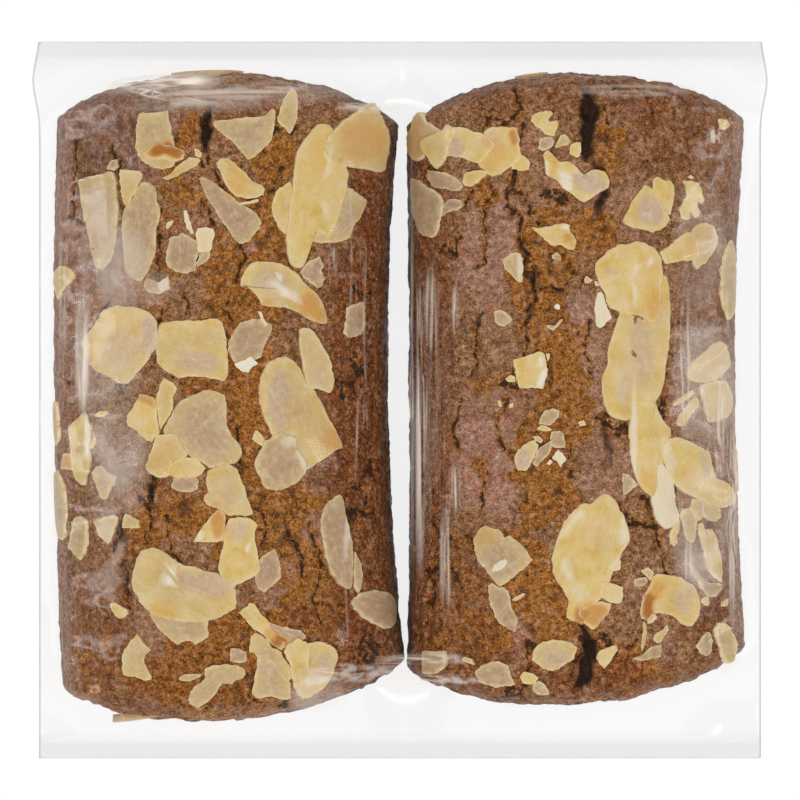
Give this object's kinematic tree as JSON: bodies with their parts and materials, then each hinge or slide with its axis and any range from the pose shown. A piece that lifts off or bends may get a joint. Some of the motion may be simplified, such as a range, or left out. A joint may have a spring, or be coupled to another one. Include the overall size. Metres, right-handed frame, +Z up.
{
  "type": "filled spiced cookie bar pack",
  "caption": "Clear sealed film pack of domed, flat-based spiced cookie bars, lying side by side and topped with flaked almonds.",
  "frame": {"origin": "on the plane the bars rest on, under the middle of the pack's outline", "axes": "+Z up, +Y along the bars to the pack's upper end seen from above, +X across them from the left bar to the right bar"},
  "size_m": [0.1314, 0.129, 0.0283],
  "materials": {
    "crust": "baked spiced dough, brown and slightly greasy, with golden crumb in its cracks",
    "almond": "flaked almond, cream with toasted ends",
    "film": "thin clear glossy film"
  },
  "bodies": {
    "root": {"bar_left": "crust", "bar_right": "crust", "film": "film"}
  },
  "joints": []
}
